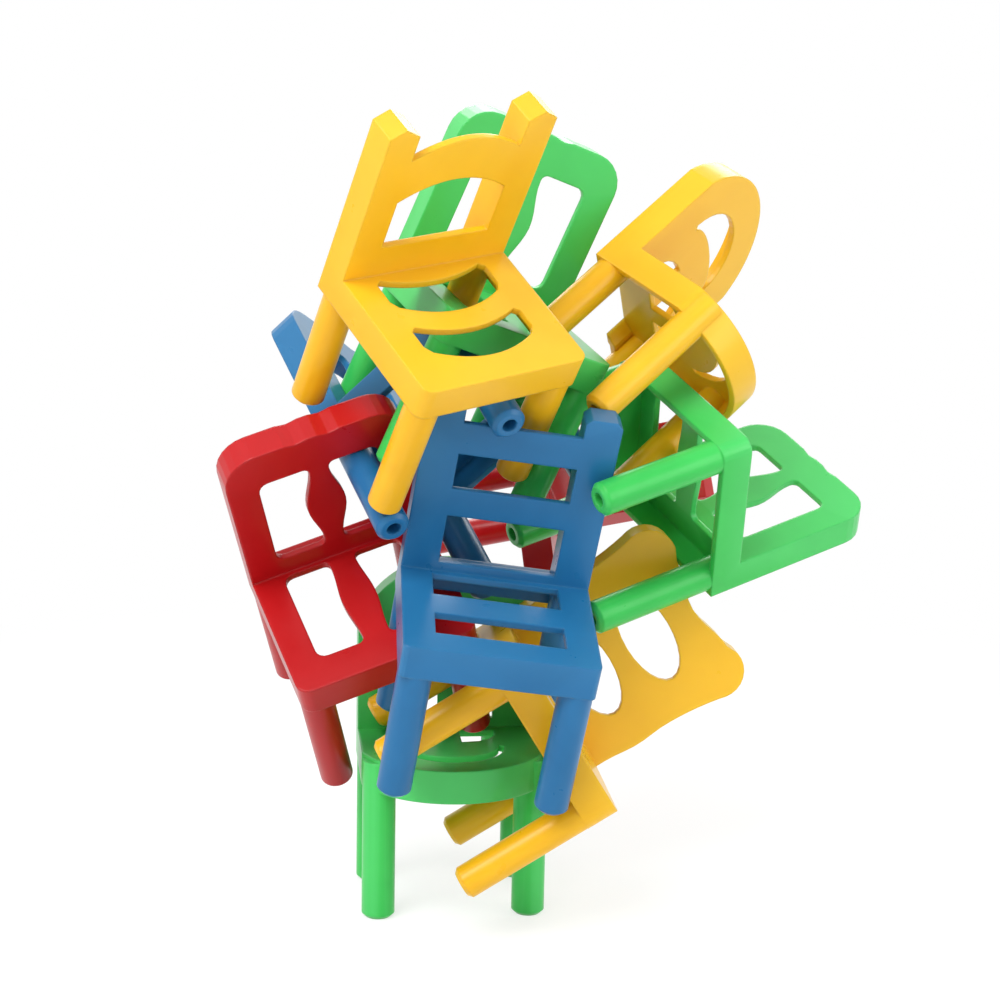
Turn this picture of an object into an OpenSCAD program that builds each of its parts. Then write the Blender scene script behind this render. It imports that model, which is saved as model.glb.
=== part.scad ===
// Stack of small moulded chairs: a stacking balance game
// All sizes are in millimetres, with +Z up.
// The origin is on the floor, under the middle of the whole stack.
// Every chair is one moulding, and the chairs only rest on each other.

/* [Chair] */
// Width of a seat; the other proportions of a chair and the whole stack follow it
chair_w = 33.4; // [26:0.1:66]
// Thickness of the seat plates and back plates
plate_t = 1.2; // [1:0.1:1.6]
// Thickness of the skirt round a seat and of the rim round a back
wall_t = 1.3; // [1:0.1:1.6]
// Width of the cored hole in the end of each leg
core_d = 2.6; // [1.6:0.1:3.2]
// Depth of the cored hole in the end of each leg
core_deep = 5; // [2:0.5:12]
// Width of the small bevel round the end of each leg
tip_bevel = 0.7; // [0.3:0.1:1]

/* [Backs and seats] */
// Width of the bevel on top of the posts of a slatted chair
post_bevel = 1; // [0.5:0.1:1.5]
// Rise of the curved slats of an arched chair
slat_rise = 3.4; // [2:0.1:4]
// Half width of the middle bar of a vase-backed chair at its waist
splat_waist = 1.8; // [1.2:0.1:2.4]
// Half width of the middle bar of a vase-backed chair at its belly
splat_belly = 3.6; // [2.8:0.1:4.2]
// Depth of the notches in the top edge of a vase-backed chair
crest_dip = 0.4; // [0.2:0.1:0.8]
// Width of the crescent opening of a round-backed chair
crescent_w = 7; // [5.5:0.1:7.5]
// Half width of the oval openings of a lobed chair
oval_half = 9.5; // [8:0.5:10.5]

/* [Hidden] */

unit = chair_w / 33.4;
half_w = 16.7;
seat_h = 30;
half_d = 16.55;
skirt_h = 6;
back_t = 5.6;
back_front = half_d - back_t;
leg_d = 6;
leg_x = half_w - leg_d / 2 - 0.05;
leg_y = half_d - leg_d / 2 - 0.05;
leg_top = seat_h - plate_t / 2;

yellow = [0.96, 0.74, 0.14];
green = [0.27, 0.78, 0.33];
blue = [0.2, 0.45, 0.66];
red = [0.76, 0.08, 0.11];

// Puts the middle of the whole stack's outline over the origin
stack_shift = [-17.86, -20.06, 0];
// Where each chair's feet are centred, from the middle of the base chair's feet, and its turns
left_red_at = [-11.8, 18.3, 34.3];
left_red_turn = [33.6, -18.4, 8.2];
front_blue_at = [1.8, -11.5, 31.8];
front_blue_turn = [15.5, 7.7, -0.8];
lower_yellow_at = [-6.9, -5.8, 22.3];
lower_yellow_turn = [-1.2, 58.3, -1.7];
left_blue_at = [6.2, -10.6, 75.8];
left_blue_turn = [-54.1, 31.5, 40.1];
rear_red_at = [-1.9, 54.5, 48.3];
rear_red_turn = [74.5, 32.4, 68.9];
right_green_at = [17.2, -2, 72.6];
right_green_turn = [-74.7, 23.1, -61.8];
upper_green_at = [-3.3, 10.1, 81.3];
upper_green_turn = [12.5, 19.9, 18.2];
top_yellow_at = [-8.5, 0.3, 87.3];
top_yellow_turn = [36.3, -6.3, 30.4];
right_yellow_at = [22.5, 2.8, 86];
right_yellow_turn = [35.4, 44.3, 71.7];

// Angle at step i of n between a0 and a1
function step_angle(i, n, a0, a1) = a0 + (a1 - a0) * i / n;
// Points of part of an ellipse round [cx, cy], in n steps
function sweep(cx, cy, rx, ry, a0, a1, n) =
  [for (i = [0 : n]) [cx + rx * cos(step_angle(i, n, a0, a1)), cy + ry * sin(step_angle(i, n, a0, a1))]];
// Points of an arc round [cx, cy]
function arc(cx, cy, r, a0, a1, n) = sweep(cx, cy, r, r, a0, a1, n);

// One round leg with its cored end and bevelled tip
module leg(x, y) {
  translate([x, y, 0])
    rotate_extrude($fn = 40)
      polygon([
        [core_d / 2, 0],
        [leg_d / 2 - tip_bevel, 0],
        [leg_d / 2, tip_bevel],
        [leg_d / 2, leg_top],
        [0, leg_top],
        [0, core_deep],
        [core_d / 2, core_deep]
      ]);
}

module four_legs(front_y) {
  leg(leg_x, leg_y);
  leg(-leg_x, leg_y);
  leg(leg_x, front_y);
  leg(-leg_x, front_y);
}

// Raises an outline drawn in x and z into a back, from depth y0 to y1
module upright(y0, y1) {
  translate([0, y1, 0])
    rotate([90, 0, 0])
      linear_extrude(y1 - y0)
        children();
}

// Straight-sided seat outline with rounded front corners
module seat_outline(r, inset) {
  polygon(concat(
    [[half_w - inset, half_d - inset]],
    [[-half_w + inset, half_d - inset]],
    arc(-half_w + r, -half_d + r, r - inset, 180, 270, 6),
    arc(half_w - r, -half_d + r, r - inset, 270, 360, 6)));
}

// Seat plate with the skirt below its edge
module seat_shell(r, inner_r) {
  difference() {
    translate([0, 0, seat_h - skirt_h])
      linear_extrude(skirt_h)
        seat_outline(r, 0);
    translate([0, 0, seat_h - skirt_h - 1])
      linear_extrude(skirt_h + 1 - plate_t)
        seat_outline(inner_r, wall_t);
  }
}
// Cuts a flat outline through the back, or through the seat plate
module through_back() {
  upright(back_front - 1, half_d + 1)
    children();
}
module through_seat() {
  translate([0, 0, seat_h - plate_t - 0.5])
    linear_extrude(plate_t + 1)
      children();
}

// Slatted chair
slat_edge = 10.3;
slat_top = 58.6;
post_top = 62.3;
module slat_post(inset) {
  w = half_w - inset;
  e = slat_edge + inset;
  b = post_bevel;
  t = post_top - inset;
  polygon([[e, seat_h - 1], [w, seat_h - 1], [w, t - b], [w - b, t], [e + b, t], [e, t - b]]);
}
module slat_slats() {
  translate([-slat_edge - 1, seat_h - 1]) square([2 * slat_edge + 2, slat_top - seat_h + 1]);
}
module slat_windows() {
  translate([-slat_edge, 31.7]) square([2 * slat_edge, 9.25]);
  translate([-slat_edge, 46.1]) square([2 * slat_edge, 6.7]);
}
module slat_slots() {
  translate([-11.15, 2.45]) square([22.3, 7.3]);
  translate([-11.15, -10.85]) square([22.3, 6.8]);
}

// Arched chair
arch_edge = 10.9;
// Points of a slat's curved edge, n steps from x0 to x1
function arch(z0, rise, x0, x1, n) =
  [for (i = [0 : n]) let (x = x0 + (x1 - x0) * i / n) [x, z0 + rise * (1 - pow(x / arch_edge, 2))]];
module arch_post(inset) {
  w = half_w - inset;
  e = arch_edge + inset;
  t = 61.1 - inset;
  polygon([[e, seat_h - 1], [w, seat_h - 1], [w, t - 1.6], [w - 2.8 + inset, t], [e, t - 1.6]]);
}
module arch_slats() {
  e = arch_edge + 1;
  polygon(concat([[-e, seat_h - 1], [e, seat_h - 1]], arch(54.4, slat_rise - 0.3, e, -e, 16)));
}
module arch_windows() {
  e = arch_edge;
  polygon(concat([[-e, 36.3], [e, 36.3]], arch(45.8, slat_rise, e, -e, 16)));
}
// A seat slot that dips towards the front, between two curved edges
slot_half = 11.2;
function dip(y0, fall, x0, x1, n) =
  [for (i = [0 : n]) let (x = x0 + (x1 - x0) * i / n) [x, y0 - fall * (1 - pow(x / slot_half, 2))]];
module dipped_slot(back, back_fall, front) {
  e = slot_half;
  polygon(concat(
    dip(back, back_fall, e - 1, -e + 1, 12),
    [[-e, back - 1.3], [-e, front + 1]],
    dip(front, 3.5, -e + 1, e - 1, 12),
    [[e, front + 1], [e, back - 1.3]]));
}
module arch_slots() {
  dipped_slot(9.9, 2.5, 3.4);
  dipped_slot(-1.6, 2.9, -7.6);
}

// Vase-backed chair
function crest(x, top) = top - crest_dip * max(0, 1 - pow((abs(x) - 3) / 1.6, 2));
module vase_back(inset) {
  w = half_w - inset;
  r = 6;
  t = 60.9;
  polygon(concat(
    [[-w, seat_h - 1], [w, seat_h - 1]],
    arc(half_w - r, t - r, r - inset, 0, 90, 6),
    [for (i = [0 : 20]) [10 - i, crest(10 - i, t - inset)]],
    arc(-half_w + r, t - r, r - inset, 90, 180, 6)));
}
// Right-hand opening: straight outer side, inner side bowed out at the middle
module vase_window(y0, y1, waist, belly) {
  r = 1.8;
  o = 11.1;
  q = 1.2;
  polygon(concat(
    arc(o - r, y1 - r, r, 0, 90, 4),
    arc(waist + q, y1 - q, q, 90, 180, 4),
    [for (i = [1 : 11])
      [waist + (belly - waist) * pow(cos(180 * (i / 12 - 0.5)), 2), y1 - q - i * (y1 - y0 - 2 * q) / 12]],
    arc(waist + q, y0 + q, q, 180, 270, 4),
    arc(o - r, y0 + r, r, 270, 360, 4)));
}
module vase_windows() {
  for (side = [0, 1])
    mirror([side, 0])
      vase_window(33.8, 53.8, splat_waist, splat_belly);
}
module vase_slots() {
  for (side = [0, 1])
    mirror([side, 0])
      vase_window(-10.3, 10, splat_waist + 0.6, splat_belly - 0.4);
}

// Round-backed chair
module round_back(inset) {
  intersection() {
    translate([-half_w + inset, seat_h - 1]) square([2 * (half_w - inset), 40]);
    translate([0, 44]) circle(r = 17.6 - inset, $fn = 80);
  }
  translate([-half_w + inset, seat_h - 1]) square([2 * (half_w - inset), 15]);
}
module crescent(base, half, rise, width) {
  polygon(concat(
    sweep(0, base, half, rise, 0, 180, 16),
    sweep(0, base - 0.6, half - 1, rise - width + 0.6, 180, 0, 16)));
}
module round_windows() {
  crescent(44.6, 9.4, 9.4, crescent_w);
  for (side = [0, 1])
    mirror([side, 0])
      polygon([[1.9, 31.8], [8.4, 31.8], [8.4, 34.2], [7.2, 36.2], [5.6, 37.6], [3.7, 38.5], [1.9, 38.9]]);
}
module round_seat(inset) {
  intersection() {
    translate([-half_w + inset, -17]) square([2 * (half_w - inset), 34]);
    translate([0, 2.3]) circle(r = 17.6 - inset, $fn = 80);
  }
  translate([-half_w + inset, 0]) square([2 * (half_w - inset), half_d - inset]);
}
module round_slots() {
  mirror([0, 1]) crescent(0.8, 9.4, 9.4, 3.4);
  for (side = [0, 1])
    mirror([side, 0])
      polygon([[1.9, 9], [8.4, 9], [8.4, 6], [7, 3.6], [5, 2.4], [1.9, 2]]);
}

// Lobed chair
lobe_x = 12.7;
lobe_z = 58.2;
lobe_r = 5.2;
// Half width of the lobed back at height z, and the height of its top edge at x
function lobe_side(z) =
  z < 45 ? 16.4 + 0.5 * pow(sin(max(0, z - 32) * 180 / 13), 2) : 16.4 + 1.1 * pow((z - 45) / 11, 2);
function lobe_crest(x) = 62.3 - 2 * pow(cos(x * 9), 2);
module lobed_back(inset) {
  polygon(concat(
    [[-16.4 + inset, seat_h - 1], [16.4 - inset, seat_h - 1]],
    [for (i = [0 : 13]) [lobe_side(30 + 2 * i) - inset, 30 + 2 * i]],
    arc(lobe_x, lobe_z, lobe_r - inset, -10, 100, 8),
    [for (i = [0 : 10]) [9.5 - 1.9 * i, lobe_crest(9.5 - 1.9 * i) - inset]],
    arc(-lobe_x, lobe_z, lobe_r - inset, 80, 190, 8),
    [for (i = [13 : -1 : 0]) [-lobe_side(30 + 2 * i) + inset, 30 + 2 * i]]));
}
module oval(cy, rx, ry) {
  polygon(sweep(0, cy, rx, ry, 0, 345, 23));
}
module lobed_windows() {
  oval(50.6, oval_half, 4.4);
  oval(38, oval_half, 4.4);
}
module lobed_slots() {
  oval(5, oval_half, 4);
  oval(-7, oval_half, 4);
}

module chair_a() {
  difference() {
    union() {
      seat_shell(1.2, 2);
      upright(back_front, back_front + plate_t) slat_slats();
      for (side = [0, 1])
        mirror([side, 0, 0])
          difference() {
            upright(back_front, half_d) slat_post(0);
            upright(back_front + plate_t, half_d + 1) slat_post(wall_t);
          }
      four_legs(-leg_y);
    }
    through_back() slat_windows();
    through_seat() slat_slots();
  }
}
module chair_b() {
  difference() {
    union() {
      seat_shell(2, 2);
      upright(back_front, back_front + plate_t) arch_slats();
      for (side = [0, 1])
        mirror([side, 0, 0])
          difference() {
            upright(back_front, half_d) arch_post(0);
            upright(back_front + plate_t, half_d + 1) arch_post(wall_t);
          }
      four_legs(-leg_y);
    }
    through_back() arch_windows();
    through_seat() arch_slots();
  }
}
module chair_c() {
  difference() {
    union() {
      seat_shell(2.5, 2.5);
      difference() {
        upright(back_front, half_d) vase_back(0);
        upright(back_front + plate_t, half_d + 1) vase_back(wall_t);
      }
      four_legs(-leg_y);
    }
    through_back() vase_windows();
    through_seat() vase_slots();
  }
}
module chair_d() {
  difference() {
    union() {
      difference() {
        translate([0, 0, seat_h - skirt_h])
          linear_extrude(skirt_h)
            round_seat(0);
        translate([0, 0, seat_h - skirt_h - 1])
          linear_extrude(skirt_h + 1 - plate_t)
            round_seat(wall_t);
      }
      difference() {
        upright(back_front, half_d) round_back(0);
        upright(back_front + plate_t, half_d + 1) round_back(wall_t);
      }
      four_legs(-5.6);
    }
    through_back() round_windows();
    through_seat() round_slots();
  }
}
module chair_e() {
  difference() {
    union() {
      seat_shell(3, 3);
      difference() {
        upright(back_front, half_d) lobed_back(0);
        upright(back_front + plate_t, half_d + 1) lobed_back(wall_t);
      }
      four_legs(-leg_y);
    }
    through_back() lobed_windows();
    through_seat() lobed_slots();
  }
}

// Each chair in its place
module base_green_chair() {
  color(green)
    scale(unit)
      translate(stack_shift)
        chair_d();
}
module left_red_chair() {
  color(red)
    scale(unit)
      translate(stack_shift + left_red_at)
        rotate(left_red_turn)
          chair_c();
}
module front_blue_chair() {
  color(blue)
    scale(unit)
      translate(stack_shift + front_blue_at)
        rotate(front_blue_turn)
          chair_a();
}
module lower_yellow_chair() {
  color(yellow)
    scale(unit)
      translate(stack_shift + lower_yellow_at)
        rotate(lower_yellow_turn)
          chair_e();
}
module left_blue_chair() {
  color(blue)
    scale(unit)
      translate(stack_shift + left_blue_at)
        rotate(left_blue_turn)
          chair_c();
}
module rear_red_chair() {
  color(red)
    scale(unit)
      translate(stack_shift + rear_red_at)
        rotate(rear_red_turn)
          chair_b();
}
module right_green_chair() {
  color(green)
    scale(unit)
      translate(stack_shift + right_green_at)
        rotate(right_green_turn)
          chair_c();
}
module upper_green_chair() {
  color(green)
    scale(unit)
      translate(stack_shift + upper_green_at)
        rotate(upper_green_turn)
          chair_c();
}
module top_yellow_chair() {
  color(yellow)
    scale(unit)
      translate(stack_shift + top_yellow_at)
        rotate(top_yellow_turn)
          chair_b();
}
module right_yellow_chair() {
  color(yellow)
    scale(unit)
      translate(stack_shift + right_yellow_at)
        rotate(right_yellow_turn)
          chair_d();
}

base_green_chair();
left_red_chair();
front_blue_chair();
lower_yellow_chair();
left_blue_chair();
rear_red_chair();
right_green_chair();
upper_green_chair();
top_yellow_chair();
right_yellow_chair();
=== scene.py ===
import bpy
from mathutils import Matrix, Vector

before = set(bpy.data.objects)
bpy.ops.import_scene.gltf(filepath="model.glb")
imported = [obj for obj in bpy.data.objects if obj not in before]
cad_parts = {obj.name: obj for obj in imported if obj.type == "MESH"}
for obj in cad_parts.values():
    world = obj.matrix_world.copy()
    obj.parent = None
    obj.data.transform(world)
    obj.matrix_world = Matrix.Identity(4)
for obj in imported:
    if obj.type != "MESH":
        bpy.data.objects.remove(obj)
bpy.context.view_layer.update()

# Camera: the photograph's viewing angle, found from the chairs' outlines
EYE = Vector((-0.0551, -0.4033, 0.1520))
LOOK = Vector((0.1144, 0.9742, -0.1945))
DOWN = Vector((-0.0027, -0.1955, -0.9807))
FOCAL_PX = 2206.5
PICTURE_PX = 1000.0
SENSOR_MM = 36.0

# Plastic: one base colour, its deeper flow marks, a lighter colour painted on edges and tips for
# light showing through, and how much light goes in
COLOURS = {
    # the third colour of each entry is painted light for edges and tips
    "yellow": ((0.87, 0.48, 0.010), (0.83, 0.44, 0.008), (0.92, 0.60, 0.05), 0.25),
    "green": ((0.048, 0.56, 0.10), (0.038, 0.50, 0.085), (0.13, 0.68, 0.22), 0.25),
    "blue": ((0.016, 0.155, 0.36), (0.012, 0.135, 0.32), (0.05, 0.23, 0.45), 0.15),
    "red": ((0.47, 0.003, 0.006), (0.42, 0.002, 0.004), (0.57, 0.015, 0.016), 0.15),
}
FLOW_SCALE = 60.0
WEAR_SCALE = 220.0
RIPPLE_SCALE = 450.0
ROUGHNESS = (0.24, 0.36)
EDGE_RADIUS = 0.00055
RIPPLE_DEPTH = 0.00008
PLASTIC_IOR = 1.49
SCATTER_DEPTH = 0.002

# Floor: half its width, and where it starts and ends running out into the white background
FLOOR_HALF = 3.0
FLOOR_FADE = (0.05, 0.22)
FLOOR_SHADE = 0.34
FLOOR_WHITE = 0.70
FLOOR_PLAIN = 0.86

# Even light from all round; the camera and reflections see it as plain white
SKY_LIGHT = 0.55
SKY_SEEN = 1.0

# Lamps: place, size and power, all aimed at the middle of the stack
MIDDLE = (0.0, 0.0, 0.07)
LAMPS = {
    "key": ((-0.35, -0.37, 0.60), (0.45, 0.45), 4.5),
    "fill": ((0.55, -0.35, 0.30), (0.45, 0.45), 1.6),
    "back": ((0.10, 0.55, 0.45), (0.60, 0.30), 2.3),
}


def make_camera():
    """Camera at the photograph's angle, upright, with the picture's lower edge along DOWN."""
    data = bpy.data.cameras.new("camera")
    cam = bpy.data.objects.new("camera", data)
    bpy.context.collection.objects.link(cam)
    look = LOOK.normalized()
    up = DOWN.cross(look).normalized().cross(look).normalized()
    if up.z < 0:
        up = -up
    right = look.cross(up).normalized()
    cam.matrix_world = Matrix(((right.x, up.x, -look.x, EYE.x),
                               (right.y, up.y, -look.y, EYE.y),
                               (right.z, up.z, -look.z, EYE.z),
                               (0, 0, 0, 1)))
    data.sensor_width = SENSOR_MM
    data.lens = SENSOR_MM * FOCAL_PX / PICTURE_PX
    data.clip_start = 0.01
    data.clip_end = 20.0
    bpy.context.scene.camera = cam


def node_tree(owner):
    """An empty node tree, with short forms of new and link."""
    owner.use_nodes = True
    nt = owner.node_tree
    nt.nodes.clear()
    return nt.nodes.new, nt.links.new


def noise(new, link, place, scale, detail):
    """Noise in the piece's own coordinates."""
    tex = new("ShaderNodeTexNoise")
    tex.inputs["Scale"].default_value = scale
    tex.inputs["Detail"].default_value = detail
    link(place.outputs["Object"], tex.inputs["Vector"])
    return tex


def make_plastic(name, colour, deep, painted_edge_light, subsurface):
    """Satin-gloss moulded plastic: faint flow shading, a lighter colour painted on edges and tips
    for light showing through, softened edges and fine surface ripple.
    """
    mat = bpy.data.materials.new(name)
    new, link = node_tree(mat)
    out = new("ShaderNodeOutputMaterial")
    bsdf = new("ShaderNodeBsdfPrincipled")
    link(bsdf.outputs["BSDF"], out.inputs["Surface"])
    place = new("ShaderNodeTexCoord")

    # Broad flow marks of the moulding, a few millimetres long
    flow = noise(new, link, place, FLOW_SCALE, 3.0)
    flow.inputs["Distortion"].default_value = 0.6
    ramp = new("ShaderNodeValToRGB")
    ramp.color_ramp.elements[0].position = 0.35
    ramp.color_ramp.elements[0].color = (*deep, 1)
    ramp.color_ramp.elements[1].position = 0.65
    ramp.color_ramp.elements[1].color = (*colour, 1)
    link(flow.outputs["Fac"], ramp.inputs["Fac"])

    # Painted light: edges and tips are mixed towards a lighter colour, standing in for light
    # showing through thin plastic
    edge = new("ShaderNodeNewGeometry")
    painted_light_mask = new("ShaderNodeMapRange")
    painted_light_mask.inputs["From Min"].default_value = 0.5
    painted_light_mask.inputs["From Max"].default_value = 0.62
    painted_light_mask.inputs["To Max"].default_value = 0.35
    link(edge.outputs["Pointiness"], painted_light_mask.inputs["Value"])
    mix = new("ShaderNodeMix")
    mix.data_type = "RGBA"
    link(painted_light_mask.outputs["Result"], mix.inputs["Factor"])
    link(ramp.outputs["Color"], mix.inputs["A"])
    mix.inputs["B"].default_value = (*painted_edge_light, 1)
    link(mix.outputs["Result"], bsdf.inputs["Base Color"])

    # Gloss varies a little, as handled plastic does
    wear = noise(new, link, place, WEAR_SCALE, 4.0)
    rough = new("ShaderNodeMapRange")
    rough.inputs["To Min"].default_value = ROUGHNESS[0]
    rough.inputs["To Max"].default_value = ROUGHNESS[1]
    link(wear.outputs["Fac"], rough.inputs["Value"])
    link(rough.outputs["Result"], bsdf.inputs["Roughness"])

    # Fine ripple over a softened edge
    bevel = new("ShaderNodeBevel")
    bevel.samples = 6
    bevel.inputs["Radius"].default_value = EDGE_RADIUS
    bump = new("ShaderNodeBump")
    bump.inputs["Strength"].default_value = 0.12
    bump.inputs["Distance"].default_value = RIPPLE_DEPTH
    ripple = noise(new, link, place, RIPPLE_SCALE, 2.0)
    link(ripple.outputs["Fac"], bump.inputs["Height"])
    link(bevel.outputs["Normal"], bump.inputs["Normal"])
    link(bump.outputs["Normal"], bsdf.inputs["Normal"])

    bsdf.inputs["IOR"].default_value = PLASTIC_IOR
    bsdf.inputs["Specular IOR Level"].default_value = 0.3
    bsdf.inputs["Coat Weight"].default_value = 0.06
    bsdf.inputs["Coat Roughness"].default_value = 0.12
    bsdf.inputs["Subsurface Weight"].default_value = subsurface
    bsdf.inputs["Subsurface Scale"].default_value = SCATTER_DEPTH
    bsdf.inputs["Subsurface Radius"].default_value = (0.8, 0.8, 0.8)
    return mat


def seen_directly(new, link):
    """1 for the camera, for reflections and for what is seen through glass, and 0 for light."""
    path = new("ShaderNodeLightPath")
    first = new("ShaderNodeMath")
    first.operation = "MAXIMUM"
    link(path.outputs["Is Camera Ray"], first.inputs[0])
    link(path.outputs["Is Glossy Ray"], first.inputs[1])
    seen = new("ShaderNodeMath")
    seen.operation = "MAXIMUM"
    link(first.outputs["Value"], seen.inputs[0])
    link(path.outputs["Is Transmission Ray"], seen.inputs[1])
    return seen.outputs["Value"]


def plain(new, kind, colour, strength=None):
    """A white or grey diffuse surface, or a plain emission."""
    shader = new(kind)
    shader.inputs["Color"].default_value = (colour, colour, colour, 1)
    if strength is not None:
        shader.inputs["Strength"].default_value = strength
    return shader


def make_floor():
    """White floor that keeps the stack's soft shadow and runs out into the white background."""
    r = FLOOR_HALF
    mesh = bpy.data.meshes.new("floor")
    mesh.from_pydata([(-r, -r, 0), (r, -r, 0), (r, r, 0), (-r, r, 0)], [], [(0, 1, 2, 3)])
    floor = bpy.data.objects.new("floor", mesh)
    bpy.context.collection.objects.link(floor)
    mat = bpy.data.materials.new("floor_white")
    new, link = node_tree(mat)
    out = new("ShaderNodeOutputMaterial")
    seen = seen_directly(new, link)

    # Near the stack: shaded white, so that the shadow shows
    near = new("ShaderNodeAddShader")
    link(plain(new, "ShaderNodeBsdfDiffuse", FLOOR_SHADE).outputs["BSDF"], near.inputs[0])
    link(plain(new, "ShaderNodeEmission", 1, FLOOR_WHITE).outputs["Emission"], near.inputs[1])

    # Away from it: the plain white of the background
    place = new("ShaderNodeTexCoord")
    distance = new("ShaderNodeVectorMath")
    distance.operation = "LENGTH"
    link(place.outputs["Object"], distance.inputs[0])
    fade = new("ShaderNodeMapRange")
    fade.interpolation_type = "SMOOTHSTEP"
    fade.inputs["From Min"].default_value = FLOOR_FADE[0]
    fade.inputs["From Max"].default_value = FLOOR_FADE[1]
    link(distance.outputs["Value"], fade.inputs["Value"])
    shown = new("ShaderNodeMixShader")
    link(fade.outputs["Result"], shown.inputs["Fac"])
    link(near.outputs["Shader"], shown.inputs[1])
    link(plain(new, "ShaderNodeEmission", 1, 1.0).outputs["Emission"], shown.inputs[2])

    # The light itself meets a plain diffuse floor
    both = new("ShaderNodeMixShader")
    link(seen, both.inputs["Fac"])
    link(plain(new, "ShaderNodeBsdfDiffuse", FLOOR_PLAIN).outputs["BSDF"], both.inputs[1])
    link(shown.outputs["Shader"], both.inputs[2])
    link(both.outputs["Shader"], out.inputs["Surface"])
    mesh.materials.append(mat)
    return floor


def make_world():
    """Even white light, and a white background for the camera and for reflections."""
    world = bpy.data.worlds.new("studio")
    bpy.context.scene.world = world
    new, link = node_tree(world)
    out = new("ShaderNodeOutputWorld")
    sky = new("ShaderNodeBackground")
    sky.inputs["Color"].default_value = (1, 1, 1, 1)
    level = new("ShaderNodeMapRange")
    level.inputs["To Min"].default_value = SKY_LIGHT
    level.inputs["To Max"].default_value = SKY_SEEN
    link(seen_directly(new, link), level.inputs["Value"])
    link(level.outputs["Result"], sky.inputs["Strength"])
    link(sky.outputs["Background"], out.inputs["Surface"])


def make_lamp(name, place, size, watts):
    """Soft rectangular lamp aimed at the middle of the stack."""
    data = bpy.data.lights.new(name, "AREA")
    data.shape = "RECTANGLE"
    data.size, data.size_y = size
    data.energy = watts
    lamp = bpy.data.objects.new(name, data)
    bpy.context.collection.objects.link(lamp)
    lamp.location = place
    aim = Vector(MIDDLE) - Vector(place)
    lamp.rotation_euler = aim.to_track_quat("-Z", "Y").to_euler()


make_camera()
bpy.context.scene.view_settings.view_transform = "Standard"

plastics = {name: make_plastic(name + "_plastic", *look) for name, look in COLOURS.items()}
for name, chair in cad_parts.items():
    # A node's name says its colour: base_green_chair is green
    for slot in chair.material_slots:
        slot.material = plastics[name.split("_")[1]]

make_floor()
make_world()
for name, lamp in LAMPS.items():
    make_lamp(name, *lamp)
